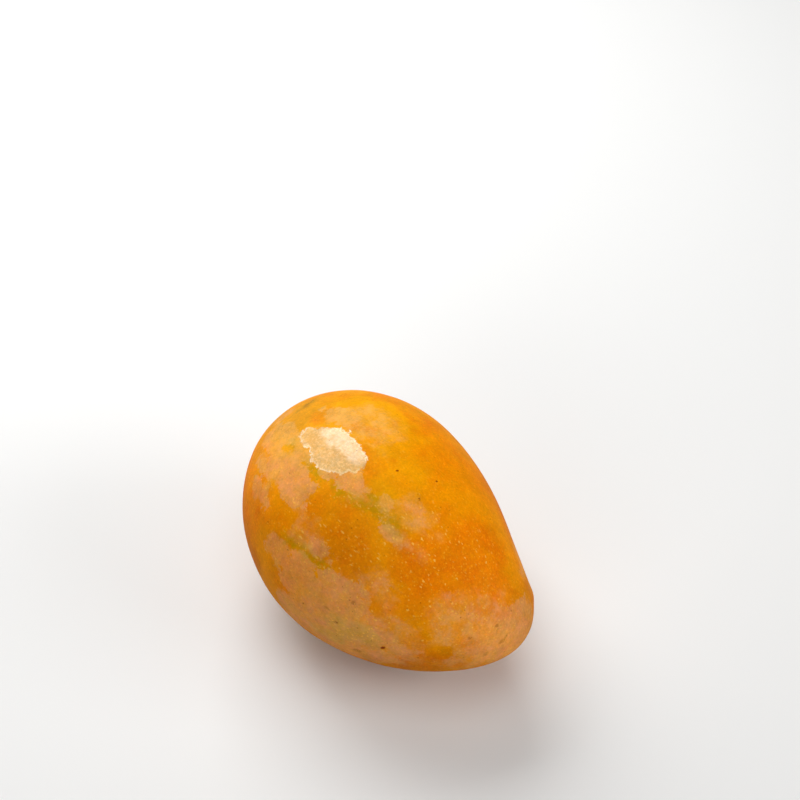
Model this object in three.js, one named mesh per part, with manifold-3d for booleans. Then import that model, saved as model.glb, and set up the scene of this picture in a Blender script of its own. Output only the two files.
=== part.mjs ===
// Whole ripe mango, lying on its side. Millimetres, +Z up.
//
// The fruit grew as one piece, so it is one closed body: a bent, tapered ellipsoid with a small
// beak beside the apex, a shallow basin with a woody stub of the stalk at the stem end, and the
// small flat spot that it rests on. +X points to the apex and +Y to the belly, the side that
// carries the beak. The origin is at the bottom centre of the bounding box.

import * as THREE from "three";
import { mergeVertices } from "three/addons/utils/BufferGeometryUtils.js";
import Module from "manifold-3d";

// Size as grown, before the fruit settles on its side.
const LENGTH = 110; // stem end to apex, along X
const WIDTH = 78; // back to belly, along Y
const THICKNESS = 68; // cheek to cheek, along Z

// Shape along the fruit. Each list holds the shares of along, along squared and along cubed, where
// along runs from -1 at the stem end to +1 at the apex.
const TAPER = [-0.14, -0.07, 0.05]; // change of the girth
const BEND = [-0.05, 0.175, 0.145]; // shift of the middle line to the belly, in half widths

// Local shapes on the belly side of the apex. Each one is a smooth hump around the skin point that
// lies in its direction, with the reach over which it fades. A height under 0 is a hollow.
const BEAK = { direction: new THREE.Vector3(0.76, 0.65, 0.05), height: 0.9, reach: 3.6 };
const CHIN = { direction: new THREE.Vector3(0.84, 0.54, 0), height: 0.65, reach: 8.6 };
const SINUS = { direction: new THREE.Vector3(0.5, 0.84, 0.2), height: -0.5, reach: 12 };

// Stem end: a shallow basin around the stub of the stalk.
const BASIN_DEPTH = 2.2;
const BASIN_REACH = 7;
const STALK_RADIUS = 2.6;
const STALK_HEIGHT = 1.6;
const STALK_SHOULDER = 1.0; // width of the ring over which the stub rises

// How the fruit lies: its balanced attitude on a level surface, and the depth of the flat spot.
const APEX_DOWN = THREE.MathUtils.degToRad(5.2);
const BACK_UP = THREE.MathUtils.degToRad(-7.0);
const FLAT_DEPTH = 0.7;

// Mesh: rings from the stem end to the apex, closer together towards both ends.
const RINGS = 64;
const SEGMENTS = 60;
const END_CROWDING = 0.6;
const WELD = 1e-4; // vertices nearer than this are one

/** Sum of shares[k] * along^(k + 1). */
function shareSum(shares, along) {
  return shares.reduce((sum, share, k) => sum + share * along ** (k + 1), 0);
}

/** Skin point of the plain bent and tapered body, in a direction from its middle. */
function bodyPoint(direction) {
  const girth = 1 + shareSum(TAPER, direction.x);
  const shift = shareSum(BEND, direction.x);
  return new THREE.Vector3(
    (LENGTH / 2) * direction.x,
    (WIDTH / 2) * (direction.y * girth + shift),
    (THICKNESS / 2) * direction.z * girth,
  );
}

/** Move of a skin point by a hump, along the skin's normal at the hump's centre. */
function humpMove(point, { direction, height, reach }) {
  const centre = bodyPoint(direction.clone().normalize());
  const outward = new THREE.Vector3(
    centre.x / (LENGTH / 2) ** 2,
    centre.y / (WIDTH / 2) ** 2,
    centre.z / (THICKNESS / 2) ** 2,
  ).normalize();
  const fade = Math.exp(-((point.distanceTo(centre) / reach) ** 2));
  return outward.multiplyScalar(height * fade);
}

/** How far the skin near the stem end stands out along -X: less than 0 in the basin. */
function stemEndRise(point) {
  const pole = bodyPoint(new THREE.Vector3(-1, 0, 0));
  const radius = Math.hypot(point.y - pole.y, point.z - pole.z);
  const basin = -BASIN_DEPTH * Math.exp(-((radius / BASIN_REACH) ** 2));
  const rim = STALK_RADIUS - STALK_SHOULDER / 2;
  const stalk = 1 - THREE.MathUtils.smoothstep(radius, rim, rim + STALK_SHOULDER);
  return basin + STALK_HEIGHT * stalk;
}

/** Skin point of the whole fruit, in a direction from its middle. */
function skinPoint(direction) {
  const plain = bodyPoint(direction);
  const point = plain.clone();
  for (const hump of [BEAK, CHIN, SINUS]) point.add(humpMove(plain, hump));
  if (direction.x < 0) point.x -= stemEndRise(plain);
  return point;
}

/** Half circle from the stem end to the apex, for turning about the fruit's length. */
function halfCircle() {
  const points = [];
  for (let ring = 0; ring <= RINGS; ring += 1) {
    const share = ring / RINGS;
    const crowd = (END_CROWDING * Math.sin(2 * Math.PI * share)) / (2 * Math.PI);
    const polar = Math.PI * (share - crowd);
    points.push(new THREE.Vector2(Math.sin(polar), -Math.cos(polar)));
  }
  return points;
}

/** The fruit as grown: a turned sphere with every vertex moved to its skin point. */
function grownFruit() {
  const geometry = new THREE.LatheGeometry(halfCircle(), SEGMENTS);
  geometry.rotateZ(-Math.PI / 2);
  const positions = geometry.getAttribute("position");
  const direction = new THREE.Vector3();
  for (let i = 0; i < positions.count; i += 1) {
    direction.fromBufferAttribute(positions, i).normalize();
    const { x, y, z } = skinPoint(direction);
    positions.setXYZ(i, x, y, z);
  }
  return geometry;
}

/** Closed solid of a geometry, with shared vertices merged and triangles without area dropped. */
function toSolid(geometry, wasm) {
  const bare = geometry.clone();
  bare.deleteAttribute("normal");
  bare.deleteAttribute("uv");
  const welded = mergeVertices(bare, WELD);
  const corners = Array.from(welded.index.array);
  const triangles = [];
  for (let i = 0; i < corners.length; i += 3) {
    const [a, b, c] = corners.slice(i, i + 3);
    if (a !== b && b !== c && c !== a) triangles.push(a, b, c);
  }
  const mesh = new wasm.Mesh({
    numProp: 3,
    vertProperties: new Float32Array(welded.getAttribute("position").array),
    triVerts: new Uint32Array(triangles),
  });
  return new wasm.Manifold(mesh);
}

/** Geometry of a closed solid. */
function toGeometry(solid) {
  const { vertProperties, triVerts } = solid.getMesh();
  const geometry = new THREE.BufferGeometry();
  geometry.setAttribute("position", new THREE.BufferAttribute(new Float32Array(vertProperties), 3));
  geometry.setIndex(Array.from(triVerts));
  return geometry;
}

/** The fruit in its balanced attitude, with its lowest point at height 0. */
function settled(geometry) {
  geometry.rotateY(APEX_DOWN);
  geometry.rotateX(BACK_UP);
  geometry.computeBoundingBox();
  return geometry.translate(0, 0, -geometry.boundingBox.min.z);
}

/** The fruit with its lowest part cut off flat. */
function flattened(geometry, wasm) {
  const block = new THREE.BoxGeometry(LENGTH, WIDTH, 2 * FLAT_DEPTH);
  return toGeometry(toSolid(geometry, wasm).subtract(toSolid(block, wasm)));
}

/** The geometry moved so that the origin is at the bottom centre of its bounding box. */
function seated(geometry) {
  geometry.computeBoundingBox();
  const { min, max } = geometry.boundingBox;
  return geometry.translate(-(min.x + max.x) / 2, -(min.y + max.y) / 2, -min.z);
}

/** Glossy, saturated orange skin. */
function skinMaterial() {
  return new THREE.MeshStandardMaterial({ color: 0xe8951f, roughness: 0.35, metalness: 0 });
}

/** The mango, as one named mesh. */
async function makeMango() {
  const wasm = await Module();
  wasm.setup();
  const geometry = seated(flattened(settled(grownFruit()), wasm));
  geometry.computeVertexNormals();
  const mango = new THREE.Mesh(geometry, skinMaterial());
  mango.name = "mango";
  const group = new THREE.Group();
  group.add(mango);
  return group;
}

export default await makeMango();
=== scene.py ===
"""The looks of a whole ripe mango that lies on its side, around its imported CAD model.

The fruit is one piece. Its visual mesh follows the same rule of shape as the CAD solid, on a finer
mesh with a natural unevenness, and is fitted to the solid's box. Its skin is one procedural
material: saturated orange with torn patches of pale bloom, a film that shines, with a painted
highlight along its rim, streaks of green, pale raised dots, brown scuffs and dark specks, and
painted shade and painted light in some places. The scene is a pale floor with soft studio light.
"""

import logging
import math
import random
from collections.abc import Callable
from dataclasses import asdict, dataclass, field
from enum import Enum

import bpy
import numpy as np
from mathutils import Matrix, Vector, noise


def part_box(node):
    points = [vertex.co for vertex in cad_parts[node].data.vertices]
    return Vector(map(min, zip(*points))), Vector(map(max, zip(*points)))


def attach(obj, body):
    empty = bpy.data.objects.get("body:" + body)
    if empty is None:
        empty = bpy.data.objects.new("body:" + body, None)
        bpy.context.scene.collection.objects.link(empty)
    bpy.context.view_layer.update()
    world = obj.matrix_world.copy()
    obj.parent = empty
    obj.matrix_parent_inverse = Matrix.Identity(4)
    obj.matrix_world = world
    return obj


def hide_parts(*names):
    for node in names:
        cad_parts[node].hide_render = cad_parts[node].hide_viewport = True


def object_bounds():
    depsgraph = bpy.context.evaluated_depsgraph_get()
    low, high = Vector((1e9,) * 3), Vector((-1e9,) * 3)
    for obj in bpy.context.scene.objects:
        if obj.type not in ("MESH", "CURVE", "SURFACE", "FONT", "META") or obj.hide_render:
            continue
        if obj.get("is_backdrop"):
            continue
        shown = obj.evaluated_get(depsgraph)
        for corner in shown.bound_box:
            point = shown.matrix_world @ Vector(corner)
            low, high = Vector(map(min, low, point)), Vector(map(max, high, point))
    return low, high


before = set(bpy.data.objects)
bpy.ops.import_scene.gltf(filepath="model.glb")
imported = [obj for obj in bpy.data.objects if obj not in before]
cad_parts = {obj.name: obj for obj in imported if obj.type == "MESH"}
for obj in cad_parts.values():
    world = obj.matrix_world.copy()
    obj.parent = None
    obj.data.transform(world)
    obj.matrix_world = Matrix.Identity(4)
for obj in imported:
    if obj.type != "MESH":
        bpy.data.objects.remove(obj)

LOG = logging.getLogger("mango")
MM = 0.001
NODE = "mango"
SLOT = "mango_skin"

Colour = tuple[float, float, float]
Pair = tuple[float, float]
Socket = bpy.types.NodeSocket
Value = float | tuple[float, ...] | Socket


def linked(name: str, data: bpy.types.ID) -> bpy.types.Object:
    """New object in the scene, with a mesh, a light or a camera as its data.

    Args:
        name: Name of the object.
        data: What the object shows.

    Returns:
        The object.
    """
    made = bpy.data.objects.new(name, data)
    bpy.context.scene.collection.objects.link(made)
    return made


# ---------------------------------------------------------------------------------------- shape


@dataclass(frozen=True)
class Hump:
    """A smooth hump on the skin, or a hollow where its height is under 0."""

    direction: tuple[float, float, float]
    height: float
    reach: float


@dataclass(frozen=True)
class StemEnd:
    """The shallow basin at the stem end, with the woody stub of the stalk in its middle."""

    basin_depth: float = 2.2 * MM
    basin_reach: float = 7 * MM
    stub_radius: float = 2.6 * MM
    stub_height: float = 1.6 * MM
    stub_shoulder: float = 1.0 * MM
    stub_dish: float = 0.35 * MM
    dish_share: float = 0.55
    rib_count: int = 19
    rib_height: float = 0.09 * MM
    fold_count: int = 5
    fold_height: float = 0.22 * MM
    fold_share: float = 0.5
    fold_turn: float = 0.6

    def rise(self, radius: np.ndarray, angle: np.ndarray) -> np.ndarray:
        """How far the skin stands out at the stem end.

        Args:
            radius: Distance from the stalk's axis.
            angle: Angle about the stalk's axis.

        Returns:
            The rise along the stalk, under 0 in the basin.
        """
        basin = -self.basin_depth * np.exp(-((radius / self.basin_reach) ** 2))
        start = self.stub_radius - self.stub_shoulder / 2
        step = np.clip((radius - start) / self.stub_shoulder, 0, 1)
        stub = 1 - step * step * (3 - 2 * step)
        dish = self.stub_dish * np.exp(-((radius / (self.dish_share * self.stub_radius)) ** 2))
        # The ribs stand on the shoulder: 4 * stub * (1 - stub) is 1 halfway up it.
        ribs = self.rib_height * np.cos(self.rib_count * angle) * 4 * stub * (1 - stub)
        fold_width = self.fold_share * self.basin_reach
        fold_ring = np.exp(-(((radius - self.basin_reach) / fold_width) ** 2))
        folds = self.fold_height * np.cos(self.fold_count * angle + self.fold_turn) * fold_ring
        return basin + (self.stub_height - dish) * stub + ribs + folds


@dataclass(frozen=True)
class FruitShape:
    """The rule of the fruit's shape: a bent, tapered ellipsoid with a beak beside the apex.

    A skin point belongs to a direction from the fruit's middle. X runs from the stem end to the
    apex, +Y to the belly and Z through the cheeks.
    """

    length: float = 110 * MM
    width: float = 78 * MM
    thickness: float = 68 * MM
    taper: tuple[float, ...] = (-0.14, -0.07, 0.05)
    bend: tuple[float, ...] = (-0.05, 0.175, 0.145)
    beak: Hump = Hump((0.76, 0.65, 0.05), 0.9 * MM, 3.6 * MM)
    chin: Hump = Hump((0.84, 0.54, 0.0), 0.65 * MM, 8.6 * MM)
    sinus: Hump = Hump((0.5, 0.84, 0.2), -0.5 * MM, 12 * MM)
    stem_end: StemEnd = StemEnd()
    apex_down: float = math.radians(5.2)
    back_up: float = math.radians(-7.0)
    flat_depth: float = 0.7 * MM

    @property
    def half_axes(self) -> np.ndarray:
        """Half of the length, width and thickness."""
        return np.array([self.length, self.width, self.thickness]) / 2

    def body(self, directions: np.ndarray) -> np.ndarray:
        """Skin points of the plain bent and tapered body.

        Args:
            directions: Unit vectors, one in each row.

        Returns:
            One point in each row.
        """
        along, across, up = directions.T
        girth = 1 + sum(share * along ** (k + 1) for k, share in enumerate(self.taper))
        shift = sum(share * along ** (k + 1) for k, share in enumerate(self.bend))
        return self.half_axes * np.stack([along, across * girth + shift, up * girth], axis=1)

    def hump_move(self, points: np.ndarray, hump: Hump) -> np.ndarray:
        """Move of the skin by one hump, along the skin's normal at its centre.

        Args:
            points: Points of the plain body.
            hump: The hump.

        Returns:
            One move in each row.
        """
        direction = np.array(hump.direction) / np.linalg.norm(hump.direction)
        centre = self.body(direction[None])[0]
        outward = centre / self.half_axes**2
        outward /= np.linalg.norm(outward)
        fade = np.exp(-((np.linalg.norm(points - centre, axis=1) / hump.reach) ** 2))
        return hump.height * fade[:, None] * outward

    def skin(self, directions: np.ndarray) -> np.ndarray:
        """Skin points of the whole fruit, in its balanced attitude.

        Args:
            directions: Unit vectors, one in each row.

        Returns:
            One point in each row.
        """
        plain = self.body(directions)
        points = plain + sum(self.hump_move(plain, h) for h in (self.beak, self.chin, self.sinus))
        pole = self.body(np.array([[-1.0, 0.0, 0.0]]))[0]
        radius = np.hypot(plain[:, 1] - pole[1], plain[:, 2] - pole[2])
        angle = np.arctan2(plain[:, 2] - pole[2], plain[:, 1] - pole[1])
        rise = self.stem_end.rise(radius, angle)
        points[:, 0] -= np.where(directions[:, 0] < 0, rise, 0)
        turn = Matrix.Rotation(self.back_up, 3, "X") @ Matrix.Rotation(self.apex_down, 3, "Y")
        return points @ np.array(turn).T


@dataclass(frozen=True)
class SkinPlace:
    """A place on the lying fruit's skin, with its normal and the direction to the apex."""

    point: Vector
    normal: Vector
    lengthwise: Vector


class SeatedFruit:
    """The fruit's skin where it lies, fitted to the box of the CAD solid."""

    fit_cuts: int = 40
    normal_step: float = 1e-3

    def __init__(self, shape: FruitShape, low: Vector, high: Vector) -> None:
        """Works out how the shape is moved and stretched to fill the box.

        Args:
            shape: The rule of the fruit's shape.
            low: The box's lowest corner.
            high: The box's highest corner.
        """
        self.shape = shape
        directions, _ = sphere_grid(self.fit_cuts)
        grown = shape.skin(directions)
        grown_low, grown_high = grown.min(axis=0), grown.max(axis=0)
        grown_low[2] += shape.flat_depth
        self.scale = (np.array(high) - np.array(low)) / (grown_high - grown_low)
        self.shift = np.array(low) - grown_low * self.scale

    def skin(self, directions: np.ndarray) -> np.ndarray:
        """Skin points of the lying fruit, one for each direction from its middle."""
        return self.shape.skin(directions) * self.scale + self.shift

    def normals(self, directions: np.ndarray) -> np.ndarray:
        """Outward unit normals of the skin, from small steps to both sides.

        Args:
            directions: Unit vectors, one in each row.

        Returns:
            One unit normal in each row.
        """
        step = self.normal_step
        nearly_along_x = np.abs(directions[:, :1]) >= 0.9
        helper = np.where(nearly_along_x, [[0, 1.0, 0]], [[1.0, 0, 0]])
        first = np.cross(directions, helper)
        first /= np.linalg.norm(first, axis=1, keepdims=True)
        second = np.cross(directions, first)

        def slope(side: np.ndarray) -> np.ndarray:
            """Change of the skin point over a step to both sides."""
            return self.skin(directions + step * side) - self.skin(directions - step * side)

        across = np.cross(slope(first), slope(second))
        return across / np.linalg.norm(across, axis=1, keepdims=True)

    def place(self, along: float, around: float) -> SkinPlace:
        """Place on the skin.

        Args:
            along: From -1 at the stem end to 1 at the apex.
            around: Degrees about the length: 0 at the belly, 90 on the upper cheek.

        Returns:
            The place, in the row frame.
        """
        radius, angle = math.sqrt(1 - along * along), math.radians(around)
        direction = np.array([[along, radius * math.cos(angle), radius * math.sin(angle)]])
        normal = Vector(self.normals(direction)[0])
        lengthwise = Vector((1, 0, 0)) - normal * normal.x
        return SkinPlace(Vector(self.skin(direction)[0]), normal, lengthwise.normalized())


def sphere_grid(cuts: int, digits: int = 7) -> tuple[np.ndarray, np.ndarray]:
    """Even grid of quads over a sphere, from the six faces of a cube.

    Args:
        cuts: Quads along each edge of the cube.
        digits: Decimals to which two vertices have to agree to be merged.

    Returns:
        Unit vectors, one for each vertex, and four vertex numbers for each face.
    """
    steps = np.tan(np.linspace(-math.pi / 4, math.pi / 4, cuts + 1))
    u, v = np.meshgrid(steps, steps, indexing="ij")
    one = np.ones_like(u)
    sides = [(one, u, v), (-one, v, u), (v, one, u), (u, -one, v), (u, v, one), (v, u, -one)]
    points = np.concatenate([np.stack(side, axis=-1).reshape(-1, 3) for side in sides])
    row, column = np.meshgrid(np.arange(cuts), np.arange(cuts), indexing="ij")
    corner = (row * (cuts + 1) + column).ravel()
    quad = np.stack([corner, corner + cuts + 1, corner + cuts + 2, corner + 1], axis=1)
    quads = np.concatenate([quad + side * (cuts + 1) ** 2 for side in range(len(sides))])
    rounded = points.round(digits)
    _, first, same = np.unique(rounded, axis=0, return_index=True, return_inverse=True)
    merged = points[first]
    return merged / np.linalg.norm(merged, axis=1, keepdims=True), same.ravel()[quads]


@dataclass(frozen=True)
class Unevenness:
    """Gentle lumps and dents of a grown fruit, as smooth noise at three sizes."""

    sizes: tuple[float, ...] = (26 * MM, 11 * MM, 4.5 * MM)
    heights: tuple[float, ...] = (0.30 * MM, 0.10 * MM, 0.030 * MM)
    start: tuple[float, float, float] = (3.7, 11.2, 6.4)

    def at(self, point: Vector) -> float:
        """Height of the skin over its smooth shape.

        Args:
            point: Point of the smooth skin.

        Returns:
            The height, under 0 in a dent.
        """
        start = Vector(self.start)
        waves = zip(self.sizes, self.heights, strict=True)
        return sum(height * noise.noise(point / size + start) for size, height in waves)


@dataclass
class FruitMesh:
    """Builds the visual mesh of the fruit."""

    fruit: SeatedFruit
    cuts: int = 118
    stem_zone: float = math.radians(40)
    stem_crowding: float = 0.6
    unevenness: Unevenness = field(default_factory=Unevenness)

    def directions(self) -> tuple[np.ndarray, np.ndarray]:
        """Grid of the mesh, with vertices drawn together at the stem end.

        Returns:
            Unit vectors, one for each vertex, and four vertex numbers for each face.
        """
        directions, faces = sphere_grid(self.cuts)
        polar = np.arccos(np.clip(-directions[:, 0], -1, 1))
        near = (polar < self.stem_zone) & (polar > 0)
        share = polar[near] / self.stem_zone
        drawn = polar[near] * (1 - self.stem_crowding * (1 - share) ** 2)
        ring = directions[near, 1:] / np.sin(polar[near])[:, None]
        directions[near, 0] = -np.cos(drawn)
        directions[near, 1:] = ring * np.sin(drawn)[:, None]
        return directions, faces

    def build(self) -> bpy.types.Object:
        """Makes the fruit as one closed mesh.

        Returns:
            The object, in place, with smooth shading.
        """
        directions, faces = self.directions()
        points = self.fruit.skin(directions)
        lumps = np.array([self.unevenness.at(Vector(point)) for point in points])
        points += self.fruit.normals(directions) * lumps[:, None]
        low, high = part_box(NODE)
        points = np.clip(points, low, high)
        mesh = bpy.data.meshes.new("mango_fruit")
        mesh.from_pydata(points.tolist(), [], faces.tolist())
        mesh.validate()
        mesh.shade_smooth()
        return linked("mango_fruit", mesh)


# ------------------------------------------------------------------------------- places on the skin


class Marking(Enum):
    """What marks a place on the skin."""

    BLOOM = "pale wax bloom with a torn border"
    HAZE = "thin bloom that fades out"
    WORN = "bloom or film worn thin"
    BARE = "bare skin inside bloom"
    # Painted shade on the chosen places: skin painted darker where less light falls. Strewn on the
    # far sides, it is darker tone at random.
    DULL = "skin a shade darker"
    GOLD = "the yellower skin of the stem end"
    DEEP = "the ripest, reddest skin"
    GREEN = "skin that is still a little green"
    FILM = "dried film of juice over the skin"
    WET = "the part of the film that is smooth and shines"
    DASHED = "skin whose long pale dots are plain to see"
    SCUFF = "brown scuff or smudge"
    SPECK = "dark speck"


@dataclass(frozen=True)
class Patch:
    """An oval place on the skin. Lengths are in millimetres and angles in degrees."""

    along: float
    around: float
    half_length: float
    half_width: float
    turn: float = 0.0


# The listed places, mostly on the upper cheek, the apex and the back.
CHOSEN_PATCHES: dict[Marking, tuple[Patch, ...]] = {
    Marking.BLOOM: (
        Patch(-0.50, 98, 4, 5),
        Patch(-0.44, 96, 5, 4),
        Patch(-0.62, 101, 2, 3.5, 20),
        Patch(-0.61, 130, 8, 6),
        Patch(-0.70, 135, 6, 5),
        Patch(-0.81, 124, 3, 3.5),
        Patch(-0.46, 120, 4, 3),
        Patch(-0.38, 126, 8, 3),
        Patch(-0.42, 137, 9, 6),
        Patch(-0.24, 134, 8, 6),
        Patch(-0.14, 119.5, 4, 3),
        Patch(-0.40, 154, 9, 3),
        Patch(-0.08, 109, 4, 4),
        Patch(-0.57, 147, 6, 3),
        Patch(-0.07, 114, 4, 4.5),
        Patch(-0.01, 113, 5, 3),
        Patch(-0.06, 164, 6, 4.5),
        Patch(0.20, 107.5, 3.2, 2.6),
        Patch(0.34, 113, 4.5, 2.2),
        Patch(0.37, 154.5, 6, 3),
        Patch(0.45, 150, 5, 2),
        Patch(0.46, 160, 6, 4),
        Patch(0.13, 157, 7, 3),
        Patch(0.16, 146.5, 5, 2.8),
        Patch(0.17, 169, 10, 7),
        Patch(0.28, 155, 6, 2.4),
        Patch(0.32, 176, 11, 9),
        Patch(0.40, 163, 6, 3.5),
        Patch(0.45, 178, 9, 8),
        Patch(0.57, 178, 9, 5),
        Patch(0.72, 184, 6, 3),
        Patch(0.20, 190, 10, 9),
        Patch(0.42, 197, 11, 9),
        Patch(0.60, 200, 8, 6),
        Patch(0.99, 100, 11, 12),
    ),
    Marking.HAZE: (
        Patch(-0.33, 86, 10, 7),
        Patch(-0.30, 93, 8, 4),
        Patch(0.04, 113, 3, 2),
        Patch(0.32, 99, 6, 3, 25),
        Patch(0.43, 112, 3, 1.4),
        Patch(0.06, 146, 5, 3),
        Patch(-0.02, 140, 4, 2.4),
        Patch(0.50, 141, 6, 3),
        Patch(0.62, 172, 12, 7),
        Patch(0.70, 192, 8, 6),
        Patch(0.83, 133, 8, 6),
        Patch(0.93, 150, 13, 14),
        Patch(0.56, 27, 6, 2),
        Patch(0.68, 30, 6, 3),
    ),
    Marking.WORN: (
        Patch(-0.56, 138, 6, 4),
        Patch(-0.40, 157, 9, 5),
        Patch(-0.44, 119, 6, 4.5),
        Patch(0.02, 168, 14, 10),
        Patch(0.20, 107.5, 5, 4),
        Patch(0.88, 118, 9, 9),
    ),
    Marking.BARE: (
        Patch(-0.60, 111, 7, 4.6),
        Patch(-0.48, 129, 2, 1),
        Patch(-0.27, 149, 5, 2),
        Patch(0.85, 176, 4.5, 3.6),
        Patch(0.60, 140, 4, 1.2),
        Patch(-0.17, 125, 4, 1.1),
    ),
    # Painted shade: skin painted darker where less light reaches it, on the upper cheek, near the
    # rims and at the underside.
    Marking.DULL: (
        Patch(0.22, 129, 13, 11),
        Patch(-0.22, 166, 6, 4),
        Patch(0.27, 106, 9, 5),
        Patch(-0.74, 114, 12, 10),
        Patch(-0.40, 187, 13, 8),
        Patch(0.92, 30, 12, 10),
        Patch(0.78, 212, 16, 9),
    ),
    Marking.GOLD: (
        Patch(-0.52, 98, 26, 26),
        Patch(-0.14, 96, 14, 9),
        Patch(0.10, 106, 18, 6),
    ),
    Marking.DEEP: (
        Patch(0.30, 137, 12, 7),
        Patch(0.55, 118, 10, 9),
        Patch(0.62, 90, 14, 14),
        Patch(0.20, 30, 26, 8),
        Patch(-0.50, 182, 22, 8),
        Patch(0.76, 200, 10, 7),
    ),
    Marking.GREEN: (
        Patch(-0.76, 105, 1.4, 5, 15),
        Patch(-0.50, 126, 2, 1.6),
        Patch(-0.20, 123, 6, 1.6),
        Patch(-0.02, 120, 3, 2),
        Patch(0.08, 117, 4, 2),
        Patch(0.16, 113.5, 4, 2.6),
        Patch(0.29, 110, 4.5, 2.6),
        Patch(0.02, 154, 5, 1.6),
        Patch(0.15, 151, 7, 1.6),
        Patch(0.50, 180, 9, 4.5),
        Patch(0.40, 192, 8, 3.5),
    ),
    Marking.FILM: (
        Patch(-0.26, 110.5, 10.5, 7.8),
        Patch(-0.43, 116, 6, 4),
        Patch(-0.13, 107, 4.5, 4.2),
    ),
    Marking.WET: (Patch(-0.36, 104, 9, 5), Patch(-0.18, 102, 7, 3.6)),
    Marking.DASHED: (Patch(0.62, 120, 24, 20), Patch(0.12, 138, 18, 10), Patch(0.60, 165, 16, 10)),
    Marking.SCUFF: (
        Patch(-0.77, 103, 0.5, 3.6, 20),
        Patch(-0.74, 111, 0.4, 3.0, 10),
        Patch(0.53, 199, 2.0, 0.6),
        Patch(0.98, 106, 0.2, 1.0, 40),
        Patch(0.95, 112, 0.2, 0.8, 30),
        Patch(0.37, 171, 0.9, 0.6),
        Patch(0.46, 159, 0.8, 0.6),
        Patch(0.42, 177, 0.8, 0.5),
        Patch(0.93, 104, 0.7, 0.6),
        Patch(0.985, 132, 0.5, 0.6),
        Patch(0.91, 145, 0.4, 0.4),
        Patch(0.97, 176, 0.7, 0.5),
    ),
    Marking.SPECK: (
        Patch(0.65, 185, 1.1, 0.6, 20),
        Patch(0.27, 93, 0.55, 0.5),
        Patch(0.20, 78, 0.5, 0.45),
        Patch(0.05, 92, 0.5, 0.45),
        Patch(-0.21, 157, 0.3, 0.25),
        Patch(0.0, 159, 0.4, 0.3),
        Patch(0.22, 178, 0.5, 0.4),
        Patch(0.33, 156, 0.3, 0.3),
        Patch(0.38, 170, 0.35, 0.25),
        Patch(0.43, 177, 0.5, 0.3),
    ),
}


@dataclass(frozen=True)
class ScatterRule:
    """How many patches of one marking are strewn over the sides that face away, and how large."""

    marking: Marking
    count: int
    smallest: float
    largest: float


SCATTER_RULES = (
    ScatterRule(Marking.BLOOM, 12, 4, 13),
    ScatterRule(Marking.HAZE, 5, 8, 16),
    ScatterRule(Marking.BARE, 5, 2, 5),
    ScatterRule(Marking.GOLD, 3, 10, 20),
    ScatterRule(Marking.DEEP, 5, 8, 16),
    ScatterRule(Marking.GREEN, 5, 3, 9),
    ScatterRule(Marking.DASHED, 4, 14, 26),
    ScatterRule(Marking.SCUFF, 4, 0.8, 2.5),
    ScatterRule(Marking.SPECK, 4, 0.3, 0.6),
    ScatterRule(Marking.WORN, 3, 6, 14),
    # Darker tone at random on the far sides, with the marking that also carries the painted shade.
    ScatterRule(Marking.DULL, 4, 8, 18),
)


@dataclass(frozen=True)
class FarSides:
    """The lower cheek, the belly and the lower back: least and most of each number of a patch."""

    slimness: Pair = (0.35, 0.8)
    along: Pair = (-0.85, 0.75)
    around: Pair = (215, 385)
    turn: Pair = (-25, 25)

    def strewn(self, rule: ScatterRule, draw: random.Random) -> Patch:
        """One patch at random.

        Args:
            rule: How large the patches of its marking are.
            draw: The seeded generator.

        Returns:
            The patch.
        """
        length = draw.uniform(rule.smallest, rule.largest)
        width = length * draw.uniform(*self.slimness)
        along = draw.uniform(*self.along)
        around = draw.uniform(*self.around)
        return Patch(along, around, length, width, draw.uniform(*self.turn))


@dataclass(frozen=True)
class Warp:
    """Gentle pushing of places over the skin, so that ovals become grown shapes."""

    sizes: tuple[float, ...] = (9 * MM, 3 * MM)
    reaches: tuple[float, ...] = (1.5 * MM, 0.6 * MM)
    start: tuple[float, float, float] = (8.3, 2.9, 5.1)
    seed: int = 1

    def moved(self, point: Vector) -> Vector:
        """Pushes a point. The noise has been given the seed before.

        Args:
            point: Point of the skin.

        Returns:
            The point after the push.
        """
        waves = zip(self.sizes, self.reaches, strict=True)
        start = Vector(self.start)
        return sum((noise.noise_vector(point / size + start) * r for size, r in waves), point)


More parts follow.
